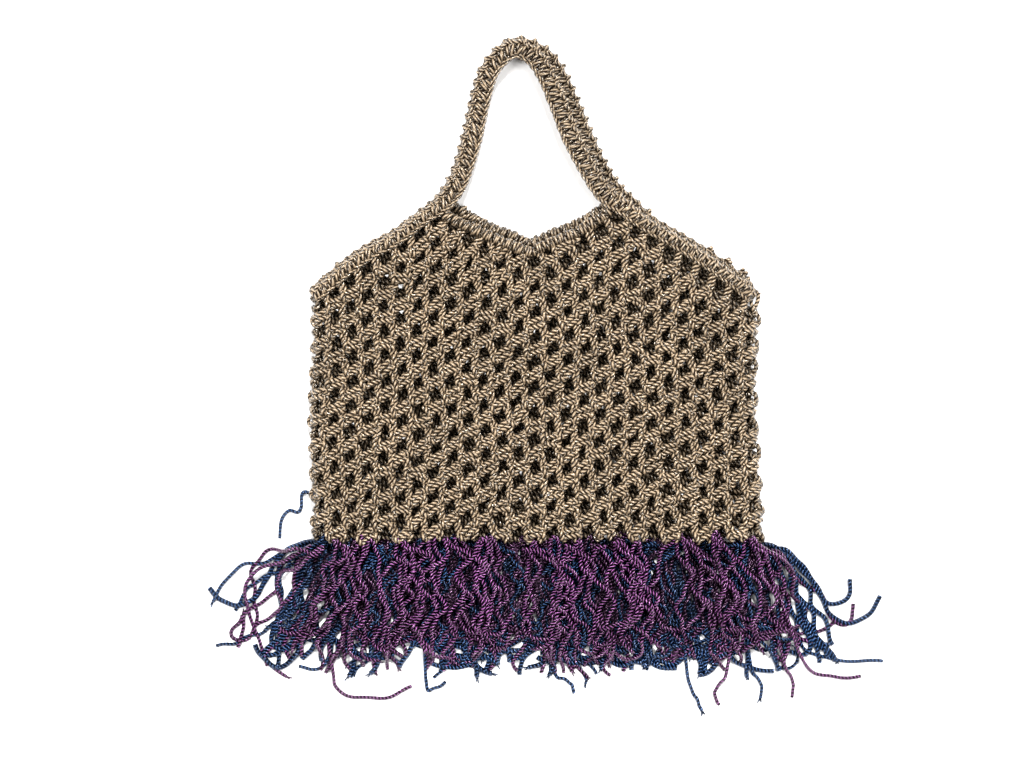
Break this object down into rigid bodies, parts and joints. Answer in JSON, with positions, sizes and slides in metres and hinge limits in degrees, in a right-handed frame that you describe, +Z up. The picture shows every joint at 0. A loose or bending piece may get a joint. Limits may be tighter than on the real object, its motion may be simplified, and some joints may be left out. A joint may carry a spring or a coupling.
{
  "type": "knotted net tote bag",
  "caption": "Flat-lying knotted net tote with two wrapped handles, a V neckline and a two-colour cord fringe along the hem.",
  "frame": {"origin": "centre of the overall box, on the surface that the bag lies on", "axes": "+Z up out of the front face, +Y towards the handles, +X to the right of the front face"},
  "size_m": [0.576, 0.5814, 0.0264],
  "materials": {
    "sand_cord": "glossy twisted synthetic cord",
    "purple_cord": "glossy twisted synthetic cord",
    "navy_cord": "glossy twisted synthetic cord"
  },
  "bodies": {
    "root": {"net_pouch": "sand_cord", "front_handle": "sand_cord", "back_handle": "sand_cord", "front_neck_rim": "sand_cord", "back_neck_rim": "sand_cord", "fringe_purple": "purple_cord", "fringe_navy": "navy_cord"}
  },
  "joints": []
}
